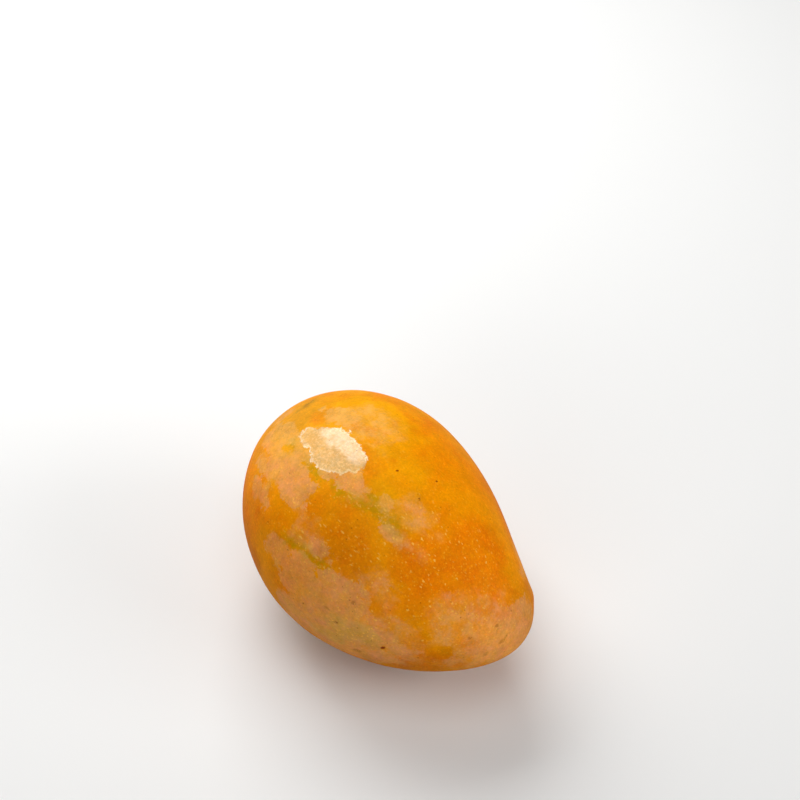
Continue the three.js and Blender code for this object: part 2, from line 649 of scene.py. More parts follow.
class SkinMap:
    """Where the markings lie: the chosen patches, and strewn ones on the sides that face away."""

    def __init__(self, fruit: SeatedFruit, seed: int = 29) -> None:
        """Strews the patches of the far sides with a seeded generator.

        Args:
            fruit: The lying fruit, for the places of the patches.
            seed: Seed of the generator.
        """
        self.fruit = fruit
        draw = random.Random(seed)
        self.patches = {marking: list(chosen) for marking, chosen in CHOSEN_PATCHES.items()}
        for rule in SCATTER_RULES:
            for _ in range(rule.count):
                self.patches[rule.marking].append(FarSides().strewn(rule, draw))

    def depth(self, patch: Patch, points: np.ndarray) -> np.ndarray:
        """Depth of points inside a patch.

        Args:
            patch: The patch.
            points: Points of the skin, one in each row.

        Returns:
            Millimetres inside the patch's border, and under 0 outside it.
        """
        place = self.fruit.place(patch.along, patch.around)
        spin = Matrix.Rotation(math.radians(patch.turn), 3, place.normal)
        forward = spin @ place.lengthwise
        axes = np.array([forward, place.normal.cross(forward), place.normal])
        inner = min(patch.half_length, patch.half_width)
        sizes = np.array([patch.half_length, patch.half_width, patch.half_length + inner])
        reach = np.linalg.norm((points - np.array(place.point)) @ axes.T / MM / sizes, axis=1)
        return inner * (1 - reach)

    def mark(self, mesh: bpy.types.Mesh) -> None:
        """Writes each marking's depth to the mesh, as a number on each vertex.

        Args:
            mesh: The fruit's mesh, in place.
        """
        warp = Warp()
        noise.seed_set(warp.seed)
        points = np.array([warp.moved(vertex.co) for vertex in mesh.vertices])
        for marking, patches in self.patches.items():
            depths = np.max([self.depth(patch, points) for patch in patches], axis=0)
            numbers = mesh.attributes.new(marking.name.lower(), "FLOAT", "POINT")
            numbers.data.foreach_set("value", depths.astype(np.float32))
            LOG.info("%s: %d patches", marking.name.lower(), len(patches))


# ---------------------------------------------------------------------------------- shader nodes


class NodeSheet:
    """Short calls that add nodes to one node tree. A value is a number, a tuple or a socket."""

    def __init__(self, tree: bpy.types.NodeTree) -> None:
        """Keeps the tree that the nodes go to."""
        self.tree = tree

    def add(self, kind: str, **settings: object) -> bpy.types.Node:
        """Adds a node.

        Args:
            kind: The node's type, without ShaderNode in front.
            **settings: The node's own settings, by name.

        Returns:
            The node.
        """
        node = self.tree.nodes.new(f"ShaderNode{kind}")
        for name, value in settings.items():
            setattr(node, name, value)
        return node

    def put(self, socket: Socket, value: Value) -> None:
        """Gives an input its value.

        Args:
            socket: The input.
            value: A socket to link it to, or a value of its own.
        """
        if isinstance(value, bpy.types.NodeSocket):
            self.tree.links.new(value, socket)
        else:
            socket.default_value = value

    def maths(self, operation: str, *values: Value) -> Socket:
        """Adds a Math node.

        Args:
            operation: The node's operation.
            *values: Its inputs in order.

        Returns:
            The result.
        """
        node = self.add("Math", operation=operation)
        for socket, value in zip(node.inputs, values, strict=False):
            self.put(socket, value)
        return node.outputs[0]

    def vectors(self, operation: str, *values: Value) -> Socket:
        """Adds a Vector Math node.

        Args:
            operation: The node's operation.
            *values: Its inputs in order.

        Returns:
            The resulting vector.
        """
        node = self.add("VectorMath", operation=operation)
        for socket, value in zip(node.inputs, values, strict=False):
            self.put(socket, value)
        return node.outputs["Vector"]

    def scaled(self, vector: Socket, factor: Value) -> Socket:
        """Multiplies a vector by a number.

        Args:
            vector: The vector.
            factor: The number.

        Returns:
            The longer or shorter vector.
        """
        node = self.add("VectorMath", operation="SCALE")
        self.put(node.inputs[0], vector)
        self.put(node.inputs["Scale"], factor)
        return node.outputs["Vector"]

    def length(self, vector: Socket) -> Socket:
        """Measures a vector.

        Args:
            vector: The vector.

        Returns:
            Its length.
        """
        node = self.add("VectorMath", operation="LENGTH")
        self.put(node.inputs[0], vector)
        return node.outputs["Value"]

    def smooth(self, value: Value, low: Value, high: Value) -> Socket:
        """Smooth step between two levels, which falls where the second level is the lower one.

        Args:
            value: What is compared with the levels.
            low: Level at which the step is 0.
            high: Level at which the step is 1.

        Returns:
            A number between 0 and 1.
        """
        node = self.add("MapRange", interpolation_type="SMOOTHSTEP")
        self.put(node.inputs["Value"], value)
        self.put(node.inputs["From Min"], low)
        self.put(node.inputs["From Max"], high)
        return node.outputs["Result"]

    def blend(self, factor: Value, first: Value, second: Value) -> Socket:
        """Blends two numbers.

        Args:
            factor: Share of the second, between 0 and 1.
            first: The first number.
            second: The second number.

        Returns:
            The number in between.
        """
        node = self.add("Mix", data_type="FLOAT")
        for index, value in ((0, factor), (2, first), (3, second)):
            self.put(node.inputs[index], value)
        return node.outputs[0]

    def tint(self, factor: Value, first: Value, second: Value) -> Socket:
        """Blends two colours.

        Args:
            factor: Share of the second, between 0 and 1.
            first: The first colour.
            second: The second colour.

        Returns:
            The colour in between.
        """
        node = self.add("Mix", data_type="RGBA")
        for index, value in ((0, factor), (6, first), (7, second)):
            rgba = (*value, 1.0) if isinstance(value, tuple) else value
            self.put(node.inputs[index], rgba)
        return node.outputs[2]

    def noise(self, position: Socket, size: float, detail: float = 2, rough: float = 0.5) -> Socket:
        """Smooth noise between 0 and 1 whose lumps are about a size across."""
        return self.noise_node(position, size, detail, rough).outputs[0]

    def noise_vector(self, position: Socket, size: float, detail: float = 2) -> Socket:
        """Three independent noises, each between -0.5 and 0.5."""
        colour = self.noise_node(position, size, detail, 0.5).outputs["Color"]
        return self.vectors("SUBTRACT", colour, (0.5, 0.5, 0.5))

    def noise_node(
        self, position: Socket, size: float, detail: float, rough: float
    ) -> bpy.types.Node:
        """Adds a Noise Texture node.

        Args:
            position: Place in the noise.
            size: How far apart its lumps are.
            detail: How many finer noises are laid over it.
            rough: Strength of the finer noises.

        Returns:
            The node.
        """
        node = self.add("TexNoise")
        self.put(node.inputs["Vector"], position)
        self.put(node.inputs["Scale"], 1 / size)
        self.put(node.inputs["Detail"], detail)
        self.put(node.inputs["Roughness"], rough)
        return node

    def group(self, tree: bpy.types.NodeTree, **values: Value) -> bpy.types.Node:
        """Places a node group.

        Args:
            tree: The group.
            **values: Values of its inputs, by their names in small letters.

        Returns:
            The node that stands for the group.
        """
        node = self.add("Group", node_tree=tree)
        for name, value in values.items():
            self.put(node.inputs[name.replace("_", " ").title()], value)
        return node


def make_group(
    name: str,
    inputs: dict[str, str],
    outputs: dict[str, str],
    fill: Callable[[NodeSheet, dict[str, Socket]], dict[str, Socket]],
) -> bpy.types.NodeTree:
    """Makes a node group with named sockets.

    Args:
        name: The group's name.
        inputs: Socket kind of each named input, such as Float or Vector.
        outputs: Socket kind of each named output.
        fill: Adds the nodes and returns the socket behind each output.

    Returns:
        The node group.
    """
    tree = bpy.data.node_groups.new(name, "ShaderNodeTree")
    for direction, sockets in (("INPUT", inputs), ("OUTPUT", outputs)):
        for label, kind in sockets.items():
            tree.interface.new_socket(label, in_out=direction, socket_type=f"NodeSocket{kind}")
    sheet = NodeSheet(tree)
    given = tree.nodes.new("NodeGroupInput")
    result = tree.nodes.new("NodeGroupOutput")
    made = fill(sheet, {socket.name: socket for socket in given.outputs if socket.name})
    for label, socket in made.items():
        tree.links.new(socket, result.inputs[label])
    return tree


class SkinEffects:
    """The node groups that the skin uses more than once, each built once.

    Lengths are in millimetres. A rim fades out between its two depths. A dot is full out to a share
    of its radius, and the faintest dot has a share of the strongest one's strength.
    """

    rim_depths: Pair = (0.7, 0.3)
    full_share: float = 0.45
    faintest_dot: float = 0.4

    def __init__(self) -> None:
        """Builds the groups."""
        self.torn_edge = make_group(
            "Torn Edge",
            {"Field": "Float", "Tear": "Float", "Tearing": "Float", "Softness": "Float"},
            {"Mask": "Float", "Rim": "Float"},
            self.fill_torn_edge,
        )
        self.dots = make_group(
            "Skin Dots",
            {
                "Position": "Vector",
                "Spacing": "Float",
                "Radius": "Float",
                "Stretch": "Float",
                "Share": "Float",
            },
            {"Mask": "Float"},
            self.fill_dots,
        )

    def fill_torn_edge(self, sheet: NodeSheet, given: dict[str, Socket]) -> dict[str, Socket]:
        """Mask of a field over 0, with its border moved by a tear between 0 and 1, and its rim.

        Args:
            sheet: Where the nodes go.
            given: The group's inputs.

        Returns:
            The group's outputs.
        """
        move = sheet.maths("MULTIPLY_ADD", given["Tear"], 2.0, -1.0)
        torn = sheet.maths("MULTIPLY_ADD", move, given["Tearing"], given["Field"])
        low = sheet.maths("MULTIPLY", given["Softness"], -1.0)
        mask = sheet.smooth(torn, low, given["Softness"])
        rim = sheet.maths("MULTIPLY", mask, sheet.smooth(torn, *self.rim_depths))
        return {"Mask": mask, "Rim": rim}

    def fill_dots(self, sheet: NodeSheet, given: dict[str, Socket]) -> dict[str, Socket]:
        """Mask of round dots, stretched along the fruit, with a share of them left out.

        Args:
            sheet: Where the nodes go.
            given: The group's inputs.

        Returns:
            The group's outputs.
        """
        size = sheet.add("CombineXYZ")
        sheet.put(size.inputs["X"], sheet.maths("MULTIPLY", given["Spacing"], given["Stretch"]))
        sheet.put(size.inputs["Y"], given["Spacing"])
        sheet.put(size.inputs["Z"], given["Spacing"])
        cells = sheet.add("TexVoronoi", feature="F1")
        place = sheet.vectors("DIVIDE", given["Position"], size.outputs[0])
        sheet.put(cells.inputs["Vector"], place)
        sheet.put(cells.inputs["Scale"], 1.0)
        radius = sheet.maths("DIVIDE", given["Radius"], given["Spacing"])
        full = sheet.maths("MULTIPLY", radius, self.full_share)
        dot = sheet.smooth(cells.outputs["Distance"], radius, full)
        draw = sheet.add("SeparateColor")
        sheet.put(draw.inputs[0], cells.outputs["Color"])
        kept = sheet.maths("LESS_THAN", draw.outputs[0], given["Share"])
        faintest = self.faintest_dot
        bright = sheet.maths("MULTIPLY_ADD", draw.outputs[1], 1 - faintest, faintest)
        return {"Mask": sheet.maths("MULTIPLY", dot, sheet.maths("MULTIPLY", kept, bright))}


# ------------------------------------------------------------------------------------------ skin


@dataclass(frozen=True)
class SkinFinish:
    """Colours and gloss of the mango's skin."""

    gold: Colour = (0.90, 0.365, 0.0)
    bright: Colour = (0.86, 0.28, 0.0)
    deep: Colour = (0.83, 0.195, 0.0)
    bloom_tan: Colour = (0.80, 0.365, 0.085)
    bloom_pink: Colour = (0.85, 0.335, 0.12)
    # Partly painted light: paler bloom where the stem end's top is lit, with its own golder tone.
    bloom_gold: Colour = (0.92, 0.47, 0.09)
    bloom_green: Colour = (0.70, 0.42, 0.10)
    olive: Colour = (0.55, 0.29, 0.0)
    film: Colour = (0.77, 0.45, 0.14)
    film_ridge: Colour = (0.97, 0.62, 0.24)
    # Painted highlight: the pale glint along the film's rim.
    film_rim: Colour = (1.0, 0.72, 0.34)
    dot: Colour = (1.0, 0.48, 0.03)
    dot_pale: Colour = (1.0, 0.53, 0.08)
    scuff: Colour = (0.38, 0.11, 0.01)
    speck: Colour = (0.22, 0.015, 0.0)
    bark: Colour = (0.10, 0.05, 0.02)
    wood: Colour = (0.20, 0.11, 0.045)
    wood_light: Colour = (0.46, 0.30, 0.15)
    skin_roughness: float = 0.5
    bloom_roughness: float = 0.6
    wet_roughness: float = 0.15
    wood_roughness: float = 0.85
    specular: float = 0.03
    coat_roughness: float = 0.18
    coat_ior: float = 1.6


@dataclass(frozen=True)
class SkinStrengths:
    """How strongly each thing shows on the skin, mostly between 0 and 1.

    A pair holds the strengths where its noise or marking is 0 and where it is 1.
    """

    ripeness: float = -0.35
    ripe_patches: float = 0.6
    ripe_medium: float = 0.25
    ripe_fine: float = 0.15
    flecks: float = 0.35
    olive_pits: float = 0.8
    # Strength of the paler, golder bloom at the stem end: partly its own tone, partly painted
    # light.
    golden_bloom: float = 0.7
    golden_power: float = 2.5
    green_bloom: float = 0.45
    haze: Pair = (0.15, 0.7)
    bloom: float = 0.5
    bloom_fine: float = 0.16
    bloom_cloud: float = 0.2
    wear: float = 0.35
    scuffs: float = 0.6
    film: Pair = (0.75, 0.97)
    # Strength of the painted highlight along the film's rim.
    film_rim: float = 0.9
    film_shine: Pair = (0.2, 1.0)
    small_dots: Pair = (0.35, 0.5)
    small_dots_on_green: float = 0.3
    small_dots_on_bloom: float = 0.25
    long_dots: Pair = (0.1, 0.8)
    long_dots_on_green: float = 0.35
    small_specks: float = 0.55
    large_specks: float = 0.9
    mottling: Pair = (0.8, 1.0)
    grain: float = 0.3
    # How much the painted shade darkens the colour.
    dullness: float = 0.14
    # Olive ring round the stub: partly greener skin, partly painted shade in the basin.
    olive_ring: float = 0.65
    cork: float = 0.7
    wood_rings: float = 0.25


@dataclass(frozen=True)
class SkinRelief:
    """Heights of the skin's fine relief, in millimetres."""

    grain: float = 0.02
    lumps: float = 0.05
    dots: float = 0.02
    film: float = 0.03
    bark: float = 0.4


@dataclass(frozen=True)
class StubBorders:
    """Where the parts of the stem end begin to show, and where they show in full.

    Distances are in millimetres from the stub's rim or, for the pith, from its axis, and they waver
    by the given length. The wood's rings turn by radians per millimetre.
    """

    stub: Pair = (1.1, 0.7)
    # The olive ring is partly greener skin and partly painted shade in the basin.
    olive_ring: Pair = (5.5, 1.0)
    bark: Pair = (-0.5, 0.1)
    pith: Pair = (1.3, 0.9)
    waver: float = 1.2
    wood_ring_turn: float = 11.0


@dataclass(frozen=True)
class NoiseKind:
    """Smooth noise over the skin. The size of its lumps and its start are in millimetres."""

    size: float
    detail: float
    roughness: float = 0.5
    start: tuple[float, float, float] = (0.0, 0.0, 0.0)
    mirrored: bool = False


class SkinNoise(Enum):
    """The noises that the skin is made with."""

    BROAD = NoiseKind(14.0, 3)
    MEDIUM = NoiseKind(4.5, 5, 0.6)
    FINE = NoiseKind(1.3, 3)
    GRIT = NoiseKind(1.4, 5, 0.75)
    GRAIN = NoiseKind(0.7, 2)
    CLOUD = NoiseKind(4.0, 5, 0.7, mirrored=True)
    SHADE = NoiseKind(7.0, 8, 0.84, mirrored=True)
    RIDGES = NoiseKind(0.9, 5, 0.8)
    SPECK_GROUPS = NoiseKind(12.0, 1)
    FADING = NoiseKind(8.0, 1)
    BROAD_TEAR = NoiseKind(9.0, 3, 0.5, (31.0, 17.0, 9.0))
    FINE_TEAR = NoiseKind(5.0, 6, 0.72)
    RAGGED_TEAR = NoiseKind(2.4, 6, 0.8, (14.0, 5.0, 27.0))
    WAVER = NoiseKind(1.8, 3)
    BARK = NoiseKind(0.6, 4, 0.7)
    CORK = NoiseKind(0.8, 4, 0.7)
    FIBRE = NoiseKind(0.5, 4, 0.7)


@dataclass(frozen=True)
class DotKind:
    """Small marks of one kind. The spacing and the radius are in millimetres."""

    spacing: float
    radius: float
    stretch: float
    share: float


class SkinDots(Enum):
    """The small marks that are strewn over all of the skin."""

    SMALL = DotKind(0.95, 0.3, 1.5, 0.9)
    LONG = DotKind(1.35, 0.35, 3.2, 0.7)
    SPECKS = DotKind(2.0, 0.32, 1.0, 0.6)


@dataclass(frozen=True)
class Border:
    """How a marking's border is torn, in millimetres.

    It is sharp in some places and fades out in others, over a width between the two given.
    """

    tearing: float
    sharpest: float
    softest: float
    tear: SkinNoise


BORDERS: dict[Marking, Border] = {
    Marking.BLOOM: Border(5.0, 0.15, 1.0, SkinNoise.FINE_TEAR),
    Marking.HAZE: Border(6.0, 1.5, 3.5, SkinNoise.FINE_TEAR),
    Marking.WORN: Border(7.0, 4.0, 6.0, SkinNoise.BROAD_TEAR),
    Marking.BARE: Border(3.5, 0.15, 0.6, SkinNoise.FINE_TEAR),
    # Border of the painted shade and of the darker tone.
    Marking.DULL: Border(9.0, 6.0, 7.0, SkinNoise.BROAD_TEAR),
    Marking.GOLD: Border(9.0, 8.0, 9.0, SkinNoise.BROAD_TEAR),
    Marking.DEEP: Border(9.0, 5.0, 6.0, SkinNoise.BROAD_TEAR),
    Marking.GREEN: Border(4.0, 1.0, 2.0, SkinNoise.RAGGED_TEAR),
    Marking.FILM: Border(3.2, 0.1, 0.2, SkinNoise.RAGGED_TEAR),
    Marking.WET: Border(3.0, 1.0, 1.8, SkinNoise.FINE_TEAR),
    Marking.DASHED: Border(8.0, 5.0, 6.0, SkinNoise.BROAD_TEAR),
    Marking.SCUFF: Border(1.2, 0.2, 0.6, SkinNoise.RAGGED_TEAR),
    Marking.SPECK: Border(0.4, 0.12, 0.12, SkinNoise.FINE_TEAR),
}


class SkinLayers:
    """The layers of the skin, which are laid over each other in the surface's node group."""

    def __init__(
        self, sheet: NodeSheet, effects: SkinEffects, finish: SkinFinish, fruit: SeatedFruit
    ) -> None:
        """Adds what the layers share: the position, the noises and the markings' masks.

        Args:
            sheet: Where the nodes go.
            effects: The node groups for torn edges and dots.
            finish: Colours and gloss.
            fruit: The lying fruit, for the place and the size of the stub.
        """
        self.sheet = sheet
        self.effects = effects
        self.finish = finish
        self.stub_radius = fruit.shape.stem_end.stub_radius / MM
        self.stub_middle = fruit.place(-1.0, 0.0).point / MM
        self.strengths = SkinStrengths()
        self.relief = SkinRelief()
        self.borders = StubBorders()
        place = sheet.add("TexCoord").outputs["Object"]
        self.position = sheet.scaled(place, 1 / MM)
        self.mirrored = sheet.scaled(self.position, -1.0)
        self.noises = {kind: self.noise(kind.value) for kind in SkinNoise}
        self.edges = self.torn_edges()
        self.masks = {marking: edge.outputs["Mask"] for marking, edge in self.edges.items()}
        covered = sheet.maths("SUBTRACT", 1.0, self.masks[Marking.BARE])
        for wax in (Marking.BLOOM, Marking.HAZE):
            self.masks[wax] = sheet.maths("MULTIPLY", self.masks[wax], covered)
        wear = self.masks[Marking.WORN]
        self.worn = sheet.maths("MULTIPLY_ADD", wear, -self.strengths.wear, 1.0)

    def noise(self, kind: NoiseKind) -> Socket:
        """Adds a noise over the skin.

        Args:
            kind: Its size, detail and start.

        Returns:
            The noise, between 0 and 1.
        """
        place = self.mirrored if kind.mirrored else self.position
        start = self.sheet.vectors("ADD", place, kind.start)
        return self.sheet.noise(start, kind.size, kind.detail, kind.roughness)

    def torn_edges(self) -> dict[Marking, bpy.types.Node]:
        """Tears the border of each marking, from its depth on the mesh.

        Returns:
            A node with the outputs Mask and Rim, for each marking.
        """
        fading = self.spots(SkinNoise.FADING, 0.4, 0.62)
        edges = {}
        for marking, border in BORDERS.items():
            depth = self.sheet.add("Attribute", attribute_name=marking.name.lower())
            edges[marking] = self.sheet.group(
                self.effects.torn_edge,
                field=depth.outputs["Fac"],
                tear=self.noises[border.tear],
                tearing=border.tearing,
                softness=self.sheet.blend(fading, border.sharpest, border.softest),
            )
        return edges

    def spots(self, kind: SkinNoise, low: float, high: float) -> Socket:
        """Mask of the spots where a noise is high: 0 at low and 1 at high."""
        return self.sheet.smooth(self.noises[kind], low, high)

    def dots(self, kind: SkinDots, position: Socket) -> Socket:
        """Mask of small marks of a kind."""
        dots = self.sheet.group(self.effects.dots, position=position, **asdict(kind.value))
        return dots.outputs["Mask"]

    def part(self, mask: Socket, strength: float) -> Socket:
        """A mask at a strength."""
        return self.sheet.maths("MULTIPLY", mask, strength)

    def ripeness(self) -> Socket:
        """How deep the ripe colour is, by patches and by noise at three sizes.

        Returns:
            A number that is near 0 on pale orange skin and 1 on the deepest.
        """
        sheet, strengths = self.sheet, self.strengths
        deep = self.masks[Marking.DEEP]
        depth = sheet.maths("MULTIPLY_ADD", deep, strengths.ripe_patches, strengths.ripeness)
        depth = sheet.maths("ADD", depth, self.spots(SkinNoise.BROAD, 0.3, 0.8))
        medium = self.spots(SkinNoise.MEDIUM, 0.42, 0.68)
        depth = sheet.maths("MULTIPLY_ADD", medium, strengths.ripe_medium, depth)
        fine = self.spots(SkinNoise.FINE, 0.45, 0.75)
        return sheet.maths("MULTIPLY_ADD", fine, strengths.ripe_fine, depth)

    def ripe_skin(self) -> Socket:
        """The bare skin: orange to red, with yellow flecks and olive pits.

        Returns:
            Its colour.
        """
        sheet, look, strengths = self.sheet, self.finish, self.strengths
        colour = sheet.tint(self.masks[Marking.GOLD], look.bright, look.gold)
        colour = sheet.tint(self.ripeness(), colour, look.deep)
        flecks = self.spots(SkinNoise.GRIT, 0.5, 0.68)
        colour = sheet.tint(self.part(flecks, strengths.flecks), colour, look.gold)
        pits = self.spots(SkinNoise.GRIT, 0.32, 0.56)
        pits = sheet.maths("MULTIPLY", self.masks[Marking.GREEN], pits)
        return sheet.tint(self.part(pits, strengths.olive_pits), colour, look.olive)

    def bloom_colour(self) -> Socket:
        """The bloom: pinkish tan, greener on green skin, and golder and paler at the lit stem end.

        Returns:
            Its colour.
        """
        sheet, look, strengths = self.sheet, self.finish, self.strengths
        pink = self.spots(SkinNoise.MEDIUM, 0.3, 0.7)
        veil = sheet.tint(pink, look.bloom_tan, look.bloom_pink)
        # Partly painted light: the bloom is painted paler and golder at the stem end's lit top, as
        # well as its own yellower tone there.
        lit_gold = sheet.maths("POWER", self.masks[Marking.GOLD], strengths.golden_power)
        veil = sheet.tint(self.part(lit_gold, strengths.golden_bloom), veil, look.bloom_gold)
        green = self.part(self.masks[Marking.GREEN], strengths.green_bloom)
        return sheet.tint(green, veil, look.bloom_green)

    def bloom_cover(self) -> Socket:
        """How thickly the bloom and the haze lie on the skin.

        Returns:
            A number between 0 and 1.
        """
        sheet, strengths = self.sheet, self.strengths
        cloud = self.spots(SkinNoise.CLOUD, 0.36, 0.62)
        haze = sheet.blend(cloud, *strengths.haze)
        haze = sheet.maths("MULTIPLY", self.masks[Marking.HAZE], haze)
        fine = self.spots(SkinNoise.FINE, 0.3, 0.6)
        cover = sheet.maths("MULTIPLY_ADD", fine, strengths.bloom_fine, strengths.bloom)
        cover = sheet.maths("MULTIPLY_ADD", cloud, strengths.bloom_cloud, cover)
        bloom = sheet.maths("MULTIPLY", self.masks[Marking.BLOOM], cover)
        return sheet.maths("MAXIMUM", haze, sheet.maths("MULTIPLY", bloom, self.worn))

    def film_over(self, colour: Socket) -> Socket:
        """Lays the film of dried juice over the skin, with its ridges, and a patchy pale glint
        painted along its rim as a painted highlight.

        Args:
            colour: The skin's colour so far.

        Returns:
            The colour with the film.
        """
        sheet, look, strengths = self.sheet, self.finish, self.strengths
        juice = sheet.tint(self.spots(SkinNoise.RIDGES, 0.46, 0.62), look.film, look.film_ridge)
        cover = sheet.blend(self.spots(SkinNoise.FINE, 0.3, 0.7), *strengths.film)
        cover = sheet.maths("MULTIPLY", cover, self.worn)
        cover = sheet.maths("MULTIPLY", self.masks[Marking.FILM], cover)
        colour = sheet.tint(cover, colour, juice)
        # Painted highlight: a pale glint is painted in the colour along the film's rim, where the
        # coat also shines.
        rim = self.edges[Marking.FILM].outputs["Rim"]
        rim_glint = sheet.maths("MULTIPLY", rim, self.spots(SkinNoise.MEDIUM, 0.4, 0.55))
        return sheet.tint(self.part(rim_glint, strengths.film_rim), colour, look.film_rim)

    def pale_dots(self) -> tuple[Socket, Socket]:
        """The small pale dots and the long ones.

        Both show more where the skin is marked as dashed and where it is green, and the small ones
        show more on bloom too.

        Returns:
            The masks of both.
        """
        sheet, strengths = self.sheet, self.strengths
        push = sheet.scaled(sheet.noise_vector(self.position, 1.0), 0.9)
        wavy = sheet.vectors("ADD", self.position, push)
        dashed, green = self.masks[Marking.DASHED], self.masks[Marking.GREEN]
        small = sheet.blend(dashed, *strengths.small_dots)
        small = sheet.maths("MULTIPLY_ADD", green, strengths.small_dots_on_green, small)
        bloom = self.masks[Marking.BLOOM]
        small = sheet.maths("MULTIPLY_ADD", bloom, strengths.small_dots_on_bloom, small)
        long = sheet.blend(dashed, *strengths.long_dots)
        long = sheet.maths("MULTIPLY_ADD", green, strengths.long_dots_on_green, long)
        small = sheet.maths("MULTIPLY", self.dots(SkinDots.SMALL, wavy), small)
        return small, sheet.maths("MULTIPLY", self.dots(SkinDots.LONG, wavy), long)

    def dots_over(self, colour: Socket, small: Socket, long: Socket) -> Socket:
        """Lays the pale dots over the skin.

        Args:
            colour: The skin's colour so far.
            small: Mask of the small dots.
            long: Mask of the long ones.

        Returns:
            The colour with the dots.
        """
        sheet, look = self.sheet, self.finish
        pale = sheet.maths("MAXIMUM", self.masks[Marking.BLOOM], self.masks[Marking.GREEN])
        colour = sheet.tint(small, colour, sheet.tint(pale, look.dot, look.dot_pale))
        return sheet.tint(long, colour, look.dot_pale)

    def specks(self) -> Socket:
        """The dark specks: the large ones, and small ones in loose groups.

        Returns:
            The mask of both.
        """
        sheet, strengths = self.sheet, self.strengths
        grouped = self.spots(SkinNoise.SPECK_GROUPS, 0.42, 0.6)
        small = sheet.maths("MULTIPLY", self.dots(SkinDots.SPECKS, self.position), grouped)
        large = self.part(self.masks[Marking.SPECK], strengths.large_specks)
        return sheet.maths("MAXIMUM", self.part(small, strengths.small_specks), large)

    def shade(self) -> Socket:
        """Mottling and grain of the colour, and painted shade in the places marked darker.

        Returns:
            A factor around 1.
        """
        sheet, strengths = self.sheet, self.strengths
        bloom, painted_dark = self.masks[Marking.BLOOM], self.masks[Marking.DULL]
        swing = sheet.blend(bloom, *strengths.mottling)
        half_swing = sheet.blend(bloom, *(strength / 2 for strength in strengths.mottling))
        shade = sheet.maths("MULTIPLY_ADD", self.noises[SkinNoise.SHADE], swing, 1.0)
        shade = sheet.maths("SUBTRACT", shade, half_swing)
        grain = self.noises[SkinNoise.GRAIN]
        grain = sheet.maths("MULTIPLY_ADD", grain, strengths.grain, -strengths.grain / 2)
        shade = sheet.maths("ADD", shade, grain)
        # Painted shade: the colour is darkened where the skin is marked darker.
        return sheet.maths("MULTIPLY_ADD", painted_dark, -strengths.dullness, shade)

    def roughness(self) -> Socket:
        """How rough the skin is: most on bloom, and least on the wet part of the film.

        Returns:
            The roughness.
        """
        sheet, look = self.sheet, self.finish
        wet = sheet.maths("MULTIPLY", self.masks[Marking.FILM], self.masks[Marking.WET])
        bloom = self.masks[Marking.BLOOM]
        skin = sheet.blend(bloom, look.skin_roughness, look.bloom_roughness)
        return sheet.blend(wet, skin, look.wet_roughness)

    def shine(self) -> Socket:
        """How much clear coat the film has: most where it is wet, and along its rim.

        Returns:
            A number between 0 and 1.
        """
        sheet = self.sheet
        shine = sheet.blend(self.masks[Marking.WET], *self.strengths.film_shine)
        shine = sheet.maths("MULTIPLY", shine, self.spots(SkinNoise.FINE, 0.0, 0.6))
        shine = sheet.maths("MAXIMUM", shine, self.edges[Marking.FILM].outputs["Rim"])
        return sheet.maths("MULTIPLY", self.masks[Marking.FILM], shine)

    def height(self, dots: Socket, stub: Socket) -> Socket:
        """The fine relief of the skin.

        Args:
            dots: Mask of the pale dots.
            stub: Mask of the stub.

        Returns:
            Its height in millimetres.
        """
        sheet, relief = self.sheet, self.relief
        lumps = sheet.maths("MULTIPLY", self.noises[SkinNoise.FINE], relief.lumps)
        height = sheet.maths("MULTIPLY_ADD", self.noises[SkinNoise.GRAIN], relief.grain, lumps)
        height = sheet.maths("MULTIPLY_ADD", dots, relief.dots, height)
        height = sheet.maths("MULTIPLY_ADD", self.masks[Marking.FILM], relief.film, height)
        bark = sheet.maths("MULTIPLY", self.noises[SkinNoise.BARK], stub)
        return sheet.maths("MULTIPLY_ADD", bark, relief.bark, height)

    def around_stub(self, distance: Socket, border: Pair) -> Socket:
        """Mask that grows from the first to the second distance past the stub's rim."""
        begins, full = (self.stub_radius + past_rim for past_rim in border)
        return self.sheet.smooth(distance, begins, full)

    def wood_colour(self, distance: Socket) -> Socket:
        """The stub: fibres and rings of wood, with dark bark and pith.

        Args:
            distance: Wavering distance from the stub's axis, in millimetres.

        Returns:
            Its colour.
        """
        sheet, look, borders = self.sheet, self.finish, self.borders
        rings = sheet.maths("SINE", sheet.maths("MULTIPLY", distance, borders.wood_ring_turn))
        fibre = self.spots(SkinNoise.FIBRE, 0.35, 0.7)
        fibre = sheet.maths("MULTIPLY_ADD", rings, self.strengths.wood_rings, fibre)
        face = sheet.tint(fibre, look.wood, look.wood_light)
        bark = self.around_stub(distance, borders.bark)
        pith = sheet.smooth(distance, *borders.pith)
        return sheet.tint(sheet.maths("MAXIMUM", bark, pith), face, look.bark)

    def stem_end(self, colour: Socket, roughness: Socket) -> tuple[Socket, Socket, Socket]:
        """Adds the woody stub, the corky skin around it, and an olive ring that is partly painted
        shade.

        Args:
            colour: The skin's colour so far.
            roughness: The skin's roughness so far.

        Returns:
            The colour, the roughness, and the mask of the stub.
        """
        sheet, look, borders = self.sheet, self.finish, self.borders
        away = sheet.vectors("SUBTRACT", self.position, tuple(self.stub_middle))
        waver = self.noises[SkinNoise.WAVER]
        distance = sheet.maths("MULTIPLY_ADD", waver, borders.waver, sheet.length(away))
